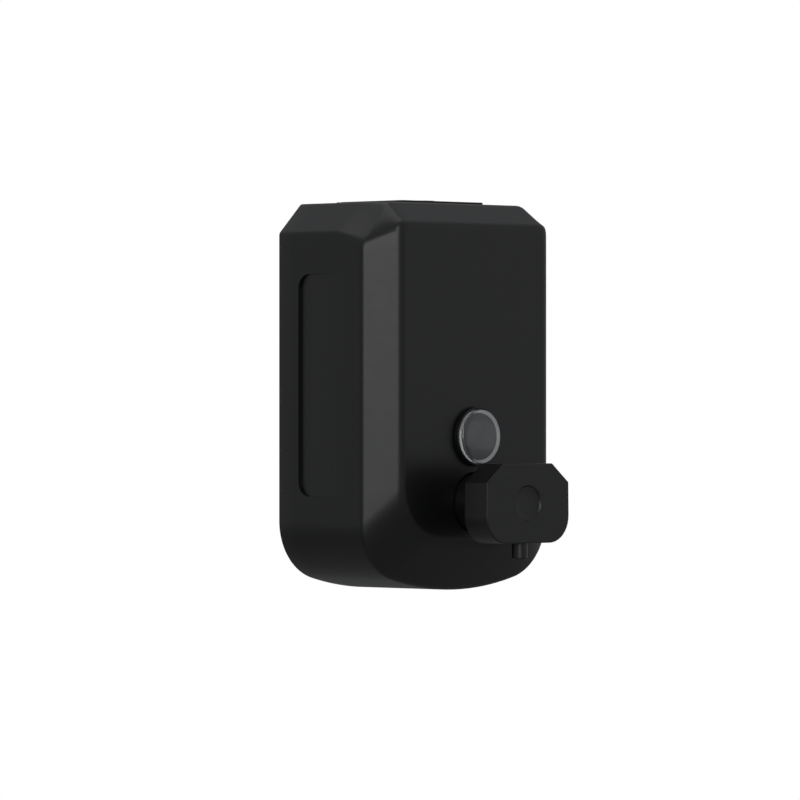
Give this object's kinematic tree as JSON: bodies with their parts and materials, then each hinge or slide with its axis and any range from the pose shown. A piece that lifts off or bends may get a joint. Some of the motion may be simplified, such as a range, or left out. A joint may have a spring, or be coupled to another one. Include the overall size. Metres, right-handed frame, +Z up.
{
  "type": "wall mounted soap dispenser",
  "caption": "Push-button soap dispenser for a wall: black bevelled container with a hinged, locking filler lid, a round sight glass and a thumb button that pumps soap out of a nozzle.",
  "frame": {"origin": "middle of the wall plate's back face, on the wall", "axes": "+Z up, +Y into the wall, the front with the button faces -Y"},
  "size_m": [0.139, 0.1186, 0.2079],
  "materials": {
    "black_coat": "satin black powder coat",
    "black_plastic": "satin moulded black",
    "grey_plastic": "moulded grey",
    "steel": "plain stainless sheet and bar",
    "rubber": "matt black rubber",
    "pale_silicone": "pale smooth silicone rubber",
    "clear_acrylic": "clear polished"
  },
  "bodies": {
    "dispenser": {"wall_plate": "steel", "retaining_nut": "steel", "retaining_screw": "steel", "hanger_bracket": "steel", "back_panel": "black_coat", "container_shell": "black_coat", "hinge_leaf": "black_coat", "hinge_pin": "steel", "sight_bezel": "black_plastic", "sight_gasket": "rubber", "lens_o_ring": "pale_silicone", "sight_lens": "clear_acrylic", "sight_nut": "black_plastic", "valve_body": "grey_plastic", "valve_gasket": "rubber", "skirt_wiper": "rubber", "valve_nut_left": "steel", "valve_nut_right": "steel", "inlet_elbow": "grey_plastic", "inlet_seat": "grey_plastic", "return_spring": "steel"},
    "lid": {"filler_lid": "black_coat", "lid_gasket": "rubber", "lock_barrel": "steel", "lock_nut": "steel"},
    "lock": {"lock_plug": "steel", "lock_cam": "steel", "cam_screw": "steel"},
    "button": {"push_button": "black_plastic", "plunger": "black_plastic", "piston": "grey_plastic", "piston_seal": "rubber", "nozzle": "black_plastic", "duckbill": "rubber"},
    "inlet_valve": {"inlet_ball": "steel"}
  },
  "joints": [
    {"name": "lid_hinge", "type": "hinge", "parent": "dispenser", "child": "lid", "pos_m": [0, -0.0046, 0.1023], "axis": [-1, 0, 0], "range_deg": [0, 92]},
    {"name": "lock_turn", "type": "hinge", "parent": "lid", "child": "lock", "pos_m": [0, -0.038, 0.1], "axis": [0, 0, -1], "range_deg": [0, 90]},
    {"name": "button_press", "type": "slide", "parent": "dispenser", "child": "button", "axis": [0, 1, 0], "range_m": [0, 0.013], "stiffness_N_per_m": 500, "springref_m": -0.008, "deforming": ["return_spring"]},
    {"name": "ball_lift", "type": "slide", "parent": "dispenser", "child": "inlet_valve", "axis": [0, 0, 1], "range_m": [0, 0.0018]}
  ]
}
